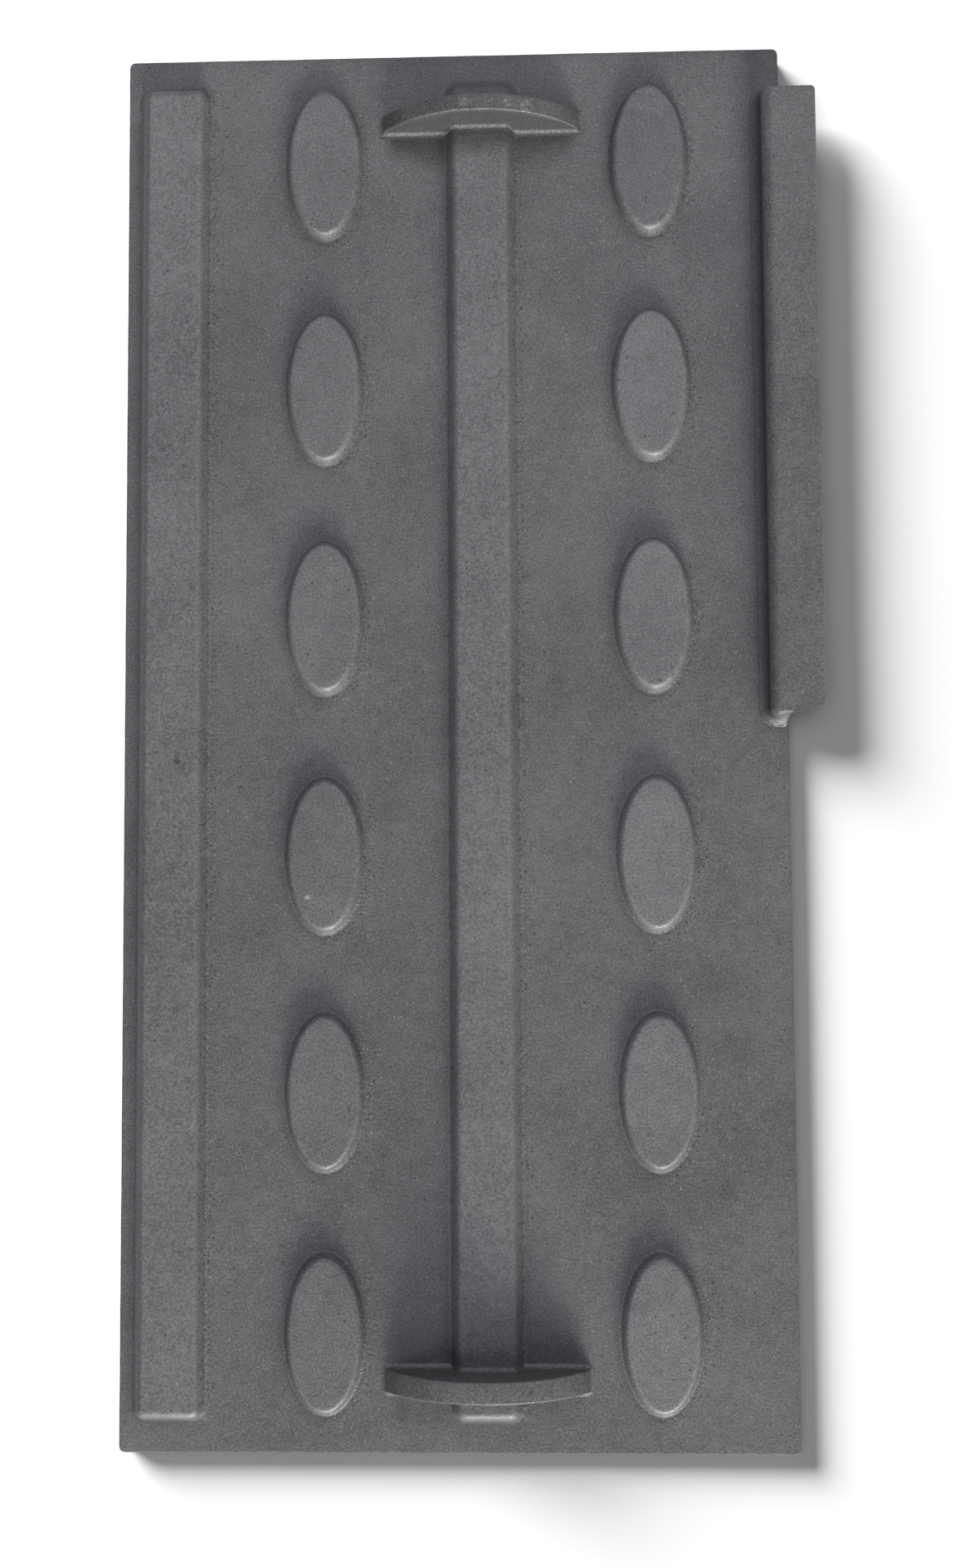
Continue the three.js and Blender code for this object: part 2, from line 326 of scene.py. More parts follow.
def castIron(name, tone, marks=(), bareSpots=(), bareFootAndGlint=0.0):
    # Sand-cast iron under thin stove paint: clouds of soot and dust, cast grain as bump, dark specks,
    # bright specks that are painted glints, rubbed edges, rough feet, and painted shade. A mark is a place
    # in mm, its radius, and how many greys lighter or darker it is. A bare spot is a place and a radius.
    # The last argument is the share of bright grains in a rough foot: bare grains and painted glints.
    material = bpy.data.materials.new(name)
    material.use_nodes = True
    shader = material.node_tree.nodes["Principled BSDF"]
    look = ironLook
    # The colour of painted shade, also taken by smudges of soot.
    shadeAndSootColour = grey(look["shadeAndSootGrey"], look["shadeAndSootBlue"])
    bareColour = grey(look["bareGrey"])
    blue = look["blue"]
    start = Wire(material.node_tree.nodes.new("ShaderNodeTexCoord").outputs["Object"])
    place = start.node("ShaderNodeVectorMath", {"operation": "SCALE"}, {0: start, "Scale": 1 / metre})
    wear = start.node("ShaderNodeAttribute", {"attribute_name": "edgeWear"}, {}, output=2)
    foot = start.node("ShaderNodeAttribute", {"attribute_name": "footGrainAndGlint"}, {}, output=2)
    paintedShade = start.node("ShaderNodeAttribute", {"attribute_name": "paintedShade"}, {}, output=2)

    haze = place.noise(look["hazePerMm"], 1.0, 0.4)
    cloud = place.noise(look["cloudPerMm"], 3.0, 0.55)
    mottle = place.noise(look["mottlePerMm"], 3.0, 0.6)
    grain = place.noise(look["grainPerMm"], 3.0, 0.62)
    fineGrain = place.noise(look["fineGrainPerMm"], 2.0, 0.6)
    sand = place.noise(look["sandPerMm"], 1.0, 0.5)

    # Soot and dust: the grey drifts with the clouds, the mottle and the grain, and each sand grain has
    # its own. At its foot a raised piece has the plate's grey, and above that its own.
    drift = (cloud + haze + mottle + grain - 2.0) * look["cloudShare"]
    share = (drift + (sand - 0.5) * look["sandShare"] + 0.5).fade(0.0, 1.0)
    level = place.node("ShaderNodeSeparateXYZ", {}, {0: place}, output=2)
    low, high = (
        share.blend(grey(middle - look["drift"], blue * 1.6), grey(middle + look["drift"], blue * 0.5))
        for middle in (look["tones"]["plate"], tone)
    )
    colour = level.fade(plateTop + 0.3, plateTop + 2.0).blend(low, high)

    # Smudges of soot, pits and chips, each with a ragged rim.
    wobble = place.noise(look["raggedPerMm"], 3.0, 0.6, output=1)
    for centre, radius, change in marks:
        strayed = wobble.node("ShaderNodeVectorMath", {"operation": "MULTIPLY_ADD"}, {
            0: wobble, 1: (radius * 2.4,) * 3, 2: place,
        })
        shift = radius * 1.2
        middle = tuple(value + shift for value in centre)
        inside = strayed.near(middle, radius * 0.45, radius * 0.8)
        if -look["smudgeLimit"] < change < 0:
            darker = inside * (-change / look["sootGreys"])
            colour = darker.blend(colour, shadeAndSootColour)
        else:
            colour = (inside * look["markShare"]).blend(colour, grey(tone + change, blue))

    # Dark specks between the grains, thicker at the rough feet, and bright specks as painted glints.
    cells = {"feature": "F1", "voronoi_dimensions": "3D"}
    for perMm, radius, few, many, speckGrey in look["specks"]:
        sockets = {"Vector": place, "Scale": perMm, "Randomness": 1.0}
        distance = place.node("ShaderNodeTexVoronoi", cells, sockets)
        lot = place.node("ShaderNodeTexVoronoi", cells, sockets, output=1)
        lot = lot.node("ShaderNodeSeparateColor", {}, {"Color": lot})
        chosen = (lot + foot * (many - few) + few).fade(0.98, 1.02)
        speck = chosen * distance.fade(radius, radius * 0.4)
        colour = speck.blend(colour, grey(speckGrey, blue))

    # Edges rubbed through the paint, in a broken line.
    rubbed = (wear + (mottle - 0.5) * 1.3 + (grain - 0.5) * 1.1).fade(0.72, 1.15)
    colour = (rubbed * look["rub"]).blend(colour, bareColour)
    bare = rubbed * 0.25
    for centre, radius in bareSpots:
        inside = place.near(centre, radius * 0.3, radius * 1.2) * grain.fade(0.42, 0.62)
        colour = (inside * 0.75).blend(colour, bareColour)
        bare = bare.maths("MAXIMUM", bare, inside)

    # A rough foot that is bright with bare grains and painted glints.
    if bareFootAndGlint:
        inside = foot.fade(0.3, 0.65) * grain.fade(0.44, 0.6) * bareFootAndGlint
        colour = inside.blend(colour, bareColour)

    # Painted shade and shadow, by the share kept at each point, thicker between the grains.
    colour = (paintedShade * ((grain - 0.5) * 1.6 + 1.0)).blend(colour, shadeAndSootColour)

    # Cast grain, coarser and deeper at the rough feet, over soft dimples.
    coarse = place.noise(look["coarsePerMm"], 2.0, 0.55)
    depth = foot * 0.9 + 1.0
    height = (grain * 0.75 + fineGrain * 0.25 + coarse * (foot * 0.8)) * depth + mottle * 0.5
    bump = place.node("ShaderNodeBump", {}, {
        "Strength": 1.0, "Distance": look["grainDepth"] * metre, "Height": height,
    })
    rough = (mottle - 0.5) * 0.16 + look["roughness"] - bare * 0.2 + paintedShade * 0.35
    links = material.node_tree.links
    links.new(colour.socket, shader.inputs["Base Color"])
    links.new(rough.socket, shader.inputs["Roughness"])
    links.new((bare * 0.7 + look["metallic"]).socket, shader.inputs["Metallic"])
    links.new(bump.socket, shader.inputs["Normal"])
    shader.inputs["Specular IOR Level"].default_value = look["gloss"]
    return material


# Flat plate. Outline and thickness in mm.
plateLook = {
    "left": -107.25, "width": 204.0, "length": 430.0, "thickness": 7.0,
    "cornerRadius": 1.8, "edgeRadius": 0.5, "spacing": 1.5, "edgeSteps": 6, "wallPoints": 2, "cornerLines": 2,
}
plateTop = plateLook["thickness"]
plateRight = plateLook["left"] + plateLook["width"]
plateMiddle = plateLook["left"] + plateLook["width"] / 2
plateEnd = plateLook["length"] / 2


def seated(points):
    # Lets a feature follow the long waves of the plate.
    points[..., 2] += plateTop + castingWave(points[..., 0], points[..., 1])
    return points


def plateSurface():
    # A flat top, an underside on the same grid, and between them rings that run round the edge.
    look = plateLook
    flat = look["cornerRadius"] - look["edgeRadius"]
    reachX, reachY = look["width"] / 2 - look["cornerRadius"], look["length"] / 2 - look["cornerRadius"]
    innerX = np.linspace(-reachX, reachX, int(2 * reachX / look["spacing"]) + 1)
    innerY = np.linspace(-reachY, reachY, int(2 * reachY / look["spacing"]) + 1)
    plan, outward = roundedGrid(innerX, innerY, flat, look["cornerLines"])
    plan = plan + [plateMiddle, 0]
    edge = look["edgeRadius"]
    section = np.concatenate([
        arcPoints(0, plateTop - edge, edge, 90, 0, look["edgeSteps"])[1:],
        between(np.array([edge, plateTop - edge]), np.array([edge, edge]), look["wallPoints"]),
        arcPoints(0, edge, edge, 0, -90, look["edgeSteps"])[:-1],
    ])
    edgePlan, edgeOut = rim(plan), rim(outward)
    stray = edgeWander(edgePlan[:, 0], edgePlan[:, 1])
    out = section[:, 0][:, None] + stray * (section[:, 0] / edge)[:, None]
    rings = np.empty((len(section), len(edgePlan), 3))
    rings[..., :2] = edgePlan + edgeOut * out[..., None]
    rings[..., 2] = section[:, 1][:, None]
    wave = castingWave(edgePlan[:, 0], edgePlan[:, 1])
    rings[..., 2] += wave * (section[:, 1] / plateTop)[:, None]
    height = plateTop + castingWave(plan[..., 0], plan[..., 1])
    top = np.dstack([plan, height])
    under = np.dstack([plan, np.zeros_like(height)])
    points, faces = slabMesh(top, rings, under)
    wear, foot, paintedShade = np.zeros(len(points)), np.zeros(len(points)), np.zeros(len(points))
    count = top[..., 0].size
    x, y = plan[..., 0].reshape(-1), plan[..., 1].reshape(-1)
    foot[:count] = footNear(x, y)
    # Painted shadow by the lugs and the lip, painted shade round the feet, along the rims and on the edge.
    paintedShade[:count] = lugShadow(x, y) + ringShade(x, y) + rimShade(x, y)
    paintedShade[count:-count] = paintedShadeLook["atEdge"]
    return points, faces, wear, foot, paintedShade


# Long bars: middle, width and height of the top face, in mm. The toe is the stretch beyond the top
# lug, measured from the plate's end, and runOut is the share of its height that it loses. The two
# shares after the height are painted shade on the wall that faces left, and painted shadow on the toe.
barLook = {
    "endMargin": 11.6, "draft": 25.0, "footFillet": 1.5, "edgeRadius": 2.5, "cornerFlat": 0.2,
    "toe": 20.0, "acrossPoints": 9, "alongPoints": 270,
    "leftBar": {"x": -92.15, "width": 17.7, "height": 4.5, "leftShade": 0.3, "endShadow": 0.0, "runOut": 0.0},
    "centreRib": {"x": 3.75, "width": 17.0, "height": 5.0, "leftShade": 0.0, "endShadow": 0.24, "runOut": 0.65},
}


def barSurface(bar):
    # A flat top grid in a rounded rectangle, and the wall profile carried round it.
    look = barLook
    profile = wallProfile(bar["height"], look["draft"], look["footFillet"], look["edgeRadius"])
    halfWidth = bar["width"] / 2 + profile[0, 0]
    halfLength = plateEnd - look["endMargin"] + profile[0, 0]
    flat = look["cornerFlat"]
    innerX = np.linspace(-(halfWidth - flat), halfWidth - flat, look["acrossPoints"])
    innerY = np.linspace(-(halfLength - flat), halfLength - flat, look["alongPoints"])
    plan, outward = roundedGrid(innerX, innerY, flat)
    plan = plan + [bar["x"], 0]
    edgePlan, edgeOut = rim(plan), rim(outward)
    out = profile[:, 0] - profile[0, 0]
    stray = edgeWander(edgePlan[:, 0], edgePlan[:, 1]) * smooth(out, 0, 0.9)[:, None]
    rings = np.empty((len(profile) - 1, len(edgePlan), 3))
    rings[..., :2] = edgePlan + edgeOut * (out[:, None] + stray)[1:, :, None]
    rings[..., 2] = profile[1:, 1][:, None]
    rings[-1, :, 2] = -castingLook["sink"]
    top = np.dstack([plan, np.full(plan.shape[:2], bar["height"])])
    under = np.dstack([plan, np.full(plan.shape[:2], -castingLook["sink"])])
    toe = plateEnd - look["toe"]
    for block in (top, rings):
        # Beyond the top lug the rib runs out towards the plate.
        block[..., 2] *= 1 - bar["runOut"] * smooth(block[..., 1], toe, plateEnd - look["endMargin"])
    points, faces = slabMesh(seated(top), seated(rings), seated(under))
    wear, foot = np.zeros(len(points)), np.zeros(len(points))
    walls = slice(top[..., 0].size, len(points) - under[..., 0].size)
    wear[walls] = np.repeat(edgeShare[1:], len(edgePlan))
    foot[walls] = (footShare[1:, None] * np.clip(edgeOut[:, 0], 0, 1)).reshape(-1)
    # Painted shadow by the lugs and on the top toe; painted shade on the lower end and the left wall.
    paintedShade = lugShadow(points[:, 0], points[:, 1]) + smooth(points[:, 1], toe - 1, toe + 2) * bar["endShadow"]
    toeShade = footShare[1:, None] * np.clip(-edgeOut[:, 1], 0, 1) * paintedShadeLook["atToe"]
    leftShade = (1 - footShare[1:, None]) * np.clip(-edgeOut[:, 0], 0, 1) * bar["leftShade"]
    paintedShade[walls] += (toeShade + leftShade).reshape(-1)
    return points, faces, wear, foot, paintedShade


# Oval pads: middles of the two columns and of the six rows, in mm.
padLook = {
    "columns": {"left": -45.1, "right": 55.95},
    "rows": [179.9, 108.6, 36.8, -36.3, -107.9, -179.6],
    "width": 22.0, "length": 45.5, "height": 3.6, "draft": 18.0, "footFillet": 1.2, "edgeRadius": 1.8,
    "around": 160, "capRings": 12, "capMiddle": 0.02,
}
padMiddles = [(x, y) for x in padLook["columns"].values() for y in padLook["rows"]]


def padSurface(centreX, centreY):
    # The wall profile carried round an ellipse, then the flat top as ever smaller ellipses.
    look = padLook
    profile = wallProfile(look["height"], look["draft"], look["footFillet"], look["edgeRadius"])[::-1]
    turn = np.linspace(0, 2 * math.pi, look["around"], endpoint=False)
    circle = np.stack([np.cos(turn), np.sin(turn)], axis=1)
    half = np.array([look["width"] / 2, look["length"] / 2])
    walls = (half + profile[:, :1])[:, None, :] * circle
    stray = edgeWander(centreX + walls[0, :, 0], centreY + walls[0, :, 1])
    walls = walls + circle * (stray * smooth(profile[:, 0], -0.8, 0.2)[:, None])[..., None]
    inner = (half + profile[-1, 0]) * np.linspace(1, look["capMiddle"], look["capRings"] + 1)[1:, None]
    cap = inner[:, None, :] * circle
    plan = np.concatenate([walls, cap]) + [centreX, centreY]
    height = np.concatenate([profile[:, 1], np.full(len(cap), look["height"])])
    height[0] = -castingLook["sink"]
    rings = np.dstack([plan, np.repeat(height[:, None], look["around"], axis=1)])
    points, faces = ringsMesh(seated(rings))
    capZeros = np.zeros(len(cap) * look["around"] + 2)
    wear = np.concatenate([np.repeat(edgeShare[::-1], look["around"]), capZeros])
    facing = np.clip(circle[:, 0] - circle[:, 1] * 0.5, 0, 1)
    foot = np.concatenate([(footShare[::-1, None] * facing).reshape(-1), capZeros])
    # The lower toes, which face the key lamps, take more painted shade the higher the pad sits on the plate.
    below = np.clip(-circle[:, 1], 0, 1) * paintedShadeLook["atPadToe"] * (1 + centreY / look["rows"][0])
    paintedShade = np.concatenate([(footShare[::-1, None] * below).reshape(-1), capZeros])
    return points, faces, wear, foot, paintedShade


# Half-moon lugs, in mm. Each has its shares of painted shade on the inner face and of painted shadow
# in front of it, how far the second reaches, and how rough and bright its foot is, the brightness being
# bare grains and painted glints. That painted shadow spans the lug and fades at its ends.
lugLook = {
    "halfWidth": 30.4, "height": 17.0, "endHeight": 1.5, "draft": 0.5, "footFillet": 1.6,
    "edgeRadius": 0.5, "stationSpacing": 0.45, "wallPoints": 12, "endSteps": 8, "tip": 0.04,
    "raggedFrom": 3.0, "raggedFull": 12.0, "sootSpan": 31.0, "sootFade": 5.0,
    "topLug": {"y": 192.55, "thickness": 5.1, "paintedShade": 0.66, "front": 0.62, "reach": 6.5, "roughFootAndGlint": 0.9},
    "bottomLug": {"y": -193.25, "thickness": 6.5, "paintedShade": 0.0, "front": 0.40, "reach": 19.0, "roughFootAndGlint": 0.0},
}


def ribLevel(x):
    # Height of the rib's back above the plate at a distance x from the rib's middle.
    rib = barLook["centreRib"]
    profile = wallProfile(rib["height"], barLook["draft"], barLook["footFillet"], barLook["edgeRadius"])
    return np.interp(np.abs(x) - rib["width"] / 2, profile[:, 0], profile[:, 1])


def lugSurface(lug):
    # Upright sections side by side along x. The free edge is a circular arc that runs out in a
    # hollow fillet at each end, and the foot of each section stands on the plate or over the rib.
    look = lugLook
    halfWidth, height = look["halfWidth"], look["height"]
    rise = height - look["endHeight"]
    radius = (halfWidth ** 2 + rise ** 2) / (2 * rise)
    steps = int(2 * halfWidth / look["stationSpacing"])
    reach = math.degrees(math.asin(halfWidth / radius))
    crown = arcPoints(0, height - radius, radius, 90 + reach, 90 - reach, steps)
    endHeight = look["endHeight"]
    endRadius = endHeight - look["tip"]
    end = arcPoints(halfWidth + endHeight, endHeight, endRadius, 180, 270, look["endSteps"])[1:]
    station = np.concatenate([(end * [-1, 1])[::-1], crown, end])
    x, edgeHeight = station[:, 0], station[:, 1]
    level = np.minimum(ribLevel(x), edgeHeight)
    profile = wallProfile(height, look["draft"], look["footFillet"], look["edgeRadius"])
    lean = math.tan(math.radians(look["draft"]))
    footCount = profileSteps["foot"] + 1
    crestCount = profileSteps["edge"] + 1
    crest, foot = profile[:crestCount], profile[-footCount:]
    room = edgeHeight - level
    squeeze = np.clip(room / (2 * look["footFillet"]), 0, 1)[:, None]
    footOut = foot[:, 0] - level[:, None] * lean
    footHeight = level[:, None] + foot[:, 1] * squeeze
    crestOut = crest[:, 0] + (height - edgeHeight)[:, None] * lean
    crestHeight = edgeHeight[:, None] - (height - crest[:, 1]) * squeeze
    share = np.linspace(0, 1, look["wallPoints"] + 2)[1:-1]
    wallOut = crestOut[:, -1:] + (footOut[:, :1] - crestOut[:, -1:]) * share
    wallHeight = crestHeight[:, -1:] + (footHeight[:, :1] - crestHeight[:, -1:]) * share
    out = np.hstack([crestOut, wallOut, footOut])
    z = np.hstack([crestHeight, wallHeight, footHeight])
    z[:, -1] = level - castingLook["sink"]
    half = lug["thickness"] / 2
    across = np.hstack([-(half + out), (half + out)[:, ::-1]]) + lug["y"]
    up = np.hstack([z, z[:, ::-1]])
    along = np.repeat((x + barLook["centreRib"]["x"])[:, None], across.shape[1], axis=1)
    rings = np.dstack([along, across, up])
    # Ragged free edge: the crest strays a little along its own arc.
    free = smooth(up, look["raggedFrom"], look["raggedFull"])
    rings[..., 2] += edgeWander(rings[..., 0] * 1.7, rings[..., 1] * 0.4) * free
    points, faces = ringsMesh(seated(rings))
    # Worn crest, rough foot on both sides with bare grains and painted glints, painted shade on the inner
    # face.
    side = np.concatenate([edgeShare[:crestCount], np.zeros(len(share) + footCount)])
    bright = np.sin(np.clip(np.linspace(0, 1.4, footCount), 0, 1) * math.pi) * lug["roughFootAndGlint"]
    rough = np.concatenate([np.zeros(crestCount + len(share)), bright])
    wear = everyRing(np.concatenate([side, side[::-1]]), len(rings))
    foot = everyRing(np.concatenate([rough, rough[::-1]]), len(rings))
    innerWall = smooth(np.arange(len(side)), crestCount - 3, crestCount + 2) * lug["paintedShade"] - rough * 0.3
    innerSide = np.concatenate([np.clip(innerWall, 0, 1), np.zeros(len(side))])
    paintedShade = everyRing(innerSide[::-1] if lug["y"] < 0 else innerSide, len(rings))
    return points, faces, wear, foot, paintedShade


# Lip on the upper half of the right edge, in mm. x is measured from the plate's right edge. The bevel
# cuts the shelf's lower end back, in full up to bevelFull from that end and not at all past bevelGone.
lipLook = {
    "middleY": 102.25, "length": 193.5, "height": 9.0, "seatWidth": 6.1, "overhang": 10.5,
    "undersideRise": 1.0, "wallDraft": 2.0, "endDraft": 14.0, "footFillet": 3.0, "endFoot": 2.0,
    "innerEdge": 3.4, "outerEdge": 0.8, "endEdge": 0.8, "endLower": 0.5, "undercut": 1.1,
    "bevelStart": 2.0, "bevelAngle": 18.0, "bevelFull": 4.0, "bevelGone": 34.0,
    "cornerFlat": 0.7, "seatPoints": 5, "shelfPoints": 9, "alongPoints": 140, "wear": 0.4, "footShade": 0.4,
}


def lipSurface():
    # A flat top grid, and round it rings whose profile changes from side to side: a filleted foot on
    # the plate, a free overhang with a rebate beneath beyond the plate's edge.
    look = lipLook
    height, rise = look["height"], look["undersideRise"]
    outerTop = look["overhang"] - (height - rise) * math.tan(math.radians(look["wallDraft"]))
    inner = wallProfile(height, look["wallDraft"], look["footFillet"], look["innerEdge"])
    endSeat = wallProfile(height, look["endDraft"], look["endFoot"], look["endEdge"])
    endFree = freeProfile(
        height, look["endDraft"], look["endLower"], look["endEdge"], rise, -look["undercut"],
    )
    outer = freeProfile(height, look["wallDraft"], rise, look["outerEdge"], rise, look["overhang"] - outerTop)
    left = -look["seatWidth"] - inner[0, 0]
    right = outerTop + outer[0, 0]
    halfLength = look["length"] / 2 + endSeat[0, 0]
    flat = look["cornerFlat"]
    plateEdge = -plateLook["edgeRadius"]
    innerX = np.unique(np.concatenate([
        np.linspace(left + flat, plateEdge, look["seatPoints"]),
        np.linspace(plateEdge, 0, 3),
        np.linspace(0, right - flat, look["shelfPoints"]),
    ]))
    innerY = np.linspace(-(halfLength - flat), halfLength - flat, look["alongPoints"])
    plan, outward = roundedGrid(innerX, innerY, flat)
    edgePlan, edgeOut = rim(plan), rim(outward)
    # Each point of the outline mixes the four profiles by the way that it faces and by where it is.
    facesEnd = edgeOut[:, 1] ** 2
    facesRight = (edgeOut[:, 0] > 0) * (1 - facesEnd)
    facesLeft = (edgeOut[:, 0] < 0) * (1 - facesEnd)
    beyond = smooth(edgePlan[:, 0], -1.0, 0.6)
    parts = [profile - [profile[0, 0], 0] for profile in (inner, outer, endSeat, endFree)]
    weights = [facesLeft, facesRight, facesEnd * (1 - beyond), facesEnd * beyond]
    section = sum(part[1:, None, :] * weight[:, None] for part, weight in zip(parts, weights))
    stray = edgeWander(edgePlan[:, 0] * 0.3, edgePlan[:, 1] * 0.8) * smooth(section[..., 0], 0.1, 1.2)
    rings = np.empty(section.shape[:2] + (3,))
    rings[..., :2] = edgePlan + edgeOut * (section[..., 0] + stray)[..., None]
    rings[..., 2] = section[..., 1]
    floorRise = np.clip(1 + plan[..., 0] / plateLook["edgeRadius"], 0, 1) * rise
    under = np.dstack([plan, floorRise - castingLook["sink"] * (floorRise < 0.01)])
    seat = rings[-1, :, 2] < 0.05
    rings[-1, seat, 2] = -castingLook["sink"]
    top = np.dstack([plan, np.full(plan.shape[:2], height)])
    blocks = [top, rings, under]
    bevel = math.tan(math.radians(look["bevelAngle"]))
    for block in blocks:
        # The shelf's lower end is cut back at an angle, and the cut dies out along the lip.
        share = 1 - smooth(block[..., 1] + halfLength, look["bevelFull"], look["bevelGone"])
        block[..., 1] += np.maximum(0, block[..., 0] - look["bevelStart"]) * bevel * share
        block[..., 0] += plateRight
        block[..., 1] += look["middleY"]
    points, faces = slabMesh(*[seated(block) for block in blocks])
    wear, foot = np.zeros(len(points)), np.zeros(len(points))
    walls = slice(top[..., 0].size, len(points) - under[..., 0].size)
    wear[walls] = np.repeat(edgeShare[1:], len(edgePlan)) * look["wear"]
    # The seat's lower end, facing the key lamps, gets a rough foot with bare grains and painted glints.
    rough = footShare[1:, None] * (facesEnd * (1 - beyond) * (edgePlan[:, 1] < 0))
    foot[walls] = rough.reshape(-1)
    # Painted shade on the inner wall, thinner towards its foot, and on the end that is cut back.
    wallShade = np.concatenate([
        np.zeros(profileSteps["edge"] + 1), np.ones(profileSteps["wall"]),
        np.linspace(1, look["footShade"], profileSteps["foot"] + 1),
    ])
    paintedShade = np.zeros(len(points))
    paintedShade[walls] = (wallShade[1:, None] * facesLeft * paintedShadeLook["lipWall"]).reshape(-1)
    paintedShade[walls] += np.tile(facesEnd * beyond * (edgePlan[:, 1] < 0) * paintedShadeLook["lipEnd"], len(section))
    return points, faces, wear, foot, paintedShade


# Painted shade and shadow. Its share round the raised feet, on the lower toes of the bars and pads, at the
# plate's rims and edge, beside the lip, on the lip's inner wall and on its cut-back end.
paintedShadeLook = {
    "atFeet": 0.17, "atToe": 0.6, "atPadToe": 0.2, "atRims": 0.12, "atEdge": 0.35,
    "besideLip": 0.28, "lipWall": 0.75, "lipEnd": 0.75,
    # Where the middle of a ring of painted shade lies, out from the top face, and how far it reaches, in mm.
    "barRing": 2.4, "padRing": 1.6, "lipRing": 2.0,
    "barReach": 2.6, "padReach": 1.9, "rimReach": 2.5, "lipReach": 4.5,
    # From where to where up the plate it lies beside the bars, and where it sets in beside the lip.
    "barFrom": -204.0, "barTo": 196.0, "lipFrom": 4.0, "lipFull": 12.0,
}

# Rough feet: middle of the rough band, out from the top face of a bar or pad, and its reach, in mm.
footLook = {"barBand": 2.6, "padBand": 2.2, "reach": 2.2, "barEnd": 205.0}


def bandAt(distance, reach):
    # Soft band: exp of minus the square of distance over reach.
    return np.exp(-(distance / reach) ** 2)


def padOval(x, y, middle, margin):
    # Places seen from a pad's middle, as shares of the half width and half length of an oval that is
    # drawn a margin outside its top, and the root of the sum of their squares, which is 1 on the oval.
    acrossX = (x - middle[0]) / (padLook["width"] / 2 + margin)
    acrossY = (y - middle[1]) / (padLook["length"] / 2 + margin)
    return acrossX, acrossY, np.maximum(np.hypot(acrossX, acrossY), 0.01)


def footNear(x, y):
    # Roughness, dark specks and painted glints of the plate beside each raised foot: a soft band that is
    # 1 at the foot, only on the side that faces right.
    look = footLook
    rough = np.zeros_like(x)
    for bar in (barLook["leftBar"], barLook["centreRib"]):
        beyond = x - bar["x"] - bar["width"] / 2 - look["barBand"]
        rough = np.maximum(rough, bandAt(beyond, look["reach"]) * (np.abs(y) < look["barEnd"]))
    for middle in padMiddles:
        acrossX, acrossY, far = padOval(x, y, middle, look["padBand"])
        beyond = (far - 1) * (padLook["width"] / 2 + look["padBand"])
        facing = smooth(acrossX - acrossY * 0.5, 0.1, 0.9)
        rough = np.maximum(rough, bandAt(beyond, look["reach"]) * facing)
    return rough


def lugShadow(x, y):
    # Painted shadow in front of a lug's inner face: falls off from the face as exp of minus distance
    # squared, and towards the ends of the lug.
    aside = np.abs(x - barLook["centreRib"]["x"])
    within = smooth(lugLook["sootSpan"] - aside, 0, lugLook["sootFade"])
    paintedShade = np.zeros_like(x)
    for lug, side in ((lugLook["topLug"], 1), (lugLook["bottomLug"], -1)):
        distance = side * (lug["y"] - y) - lug["thickness"] / 2
        paintedShade = paintedShade + lug["front"] * bandAt(distance, lug["reach"]) * (distance > -1) * within
    return paintedShade


def ringShade(x, y):
    # Painted shade on the plate round each raised foot, as a soft band, with more on the side that faces
    # left.
    look = paintedShadeLook
    paintedShade = np.zeros_like(x)
    along = (y > look["barFrom"]) * (y < look["barTo"])
    for bar in (barLook["leftBar"], barLook["centreRib"]):
        across = x - bar["x"]
        beyond = np.abs(across) - bar["width"] / 2 - look["barRing"]
        paintedShade = np.maximum(paintedShade, bandAt(beyond, look["barReach"]) * (1 - 0.3 * np.sign(across)) * along)
    for middle in padMiddles:
        acrossX, acrossY, far = padOval(x, y, middle, look["padRing"])
        beyond = (far - 1) * padLook["width"] / 2
        facing = 1 - (0.5 * acrossX + 0.3 * acrossY) / far
        paintedShade = np.maximum(paintedShade, bandAt(beyond, look["padReach"]) * facing)
    return paintedShade * look["atFeet"]


def rimShade(x, y):
    # Painted shade along the plate's right and upper rims, and painted shadow beside the lip, as soft bands.
    look = paintedShadeLook
    rims = bandAt(plateRight - x, look["rimReach"]) + bandAt(plateEnd - y, look["rimReach"])
    lipSide = plateRight - lipLook["seatWidth"] - look["lipRing"]
    besideLip = bandAt(lipSide - x, look["lipReach"]) * smooth(y, look["lipFrom"], look["lipFull"])
    return rims * look["atRims"] + besideLip * look["besideLip"]


# Marks of this one casting: place and radius in mm, and how many greys lighter or darker.
plateMarks = [
    ((15.2, -185.2, 7.5), 1.2, 40), ((-82.0, -128.8, 7.5), 1.0, -45), ((-82.9, 27.0, 7), 7.0, -8),
    ((-21.5, -203.5, 7), 3.0, -14), ((72.0, -75.0, 7), 6.0, -8), ((79.0, -96.0, 7), 7.0, -9),
    ((92.0, -113.0, 7), 6.0, -7), ((75.5, -136.5, 7), 4.0, -6), ((-26.0, -23.0, 7), 5.0, -6),
    ((-36.0, -64.0, 7), 6.0, -6), ((74.0, 160.0, 7), 13.0, -6), ((37.0, 158.0, 7), 5.0, -5),
]
leftPadMarks = [((-50.2, -49.4, 10.6), 1.0, 70)]
rightPadMarks = [((55.95, 179.9, 10.6), 26.0, -12)]
barMarks = [((-89.9, -7.4, 11.5), 1.0, -50), ((-90.5, -10.0, 11.5), 6.0, -5)]
lugMarks = [
    ((16.6, -193.4, 22), 1.0, -28), ((-11.5, -191.6, 21), 1.3, 26), ((-11.5, 192.6, 22.5), 1.2, -26),
    ((-24.0, 192.6, 13.5), 4.0, -16),
]
# Bare spots on the top lug's free edge: place and radius in mm.
lugBare = [((-0.5, 192.8, 24), 2.2), ((12.6, 192.4, 23.5), 1.6), ((18.4, 192.0, 22), 2.4)]

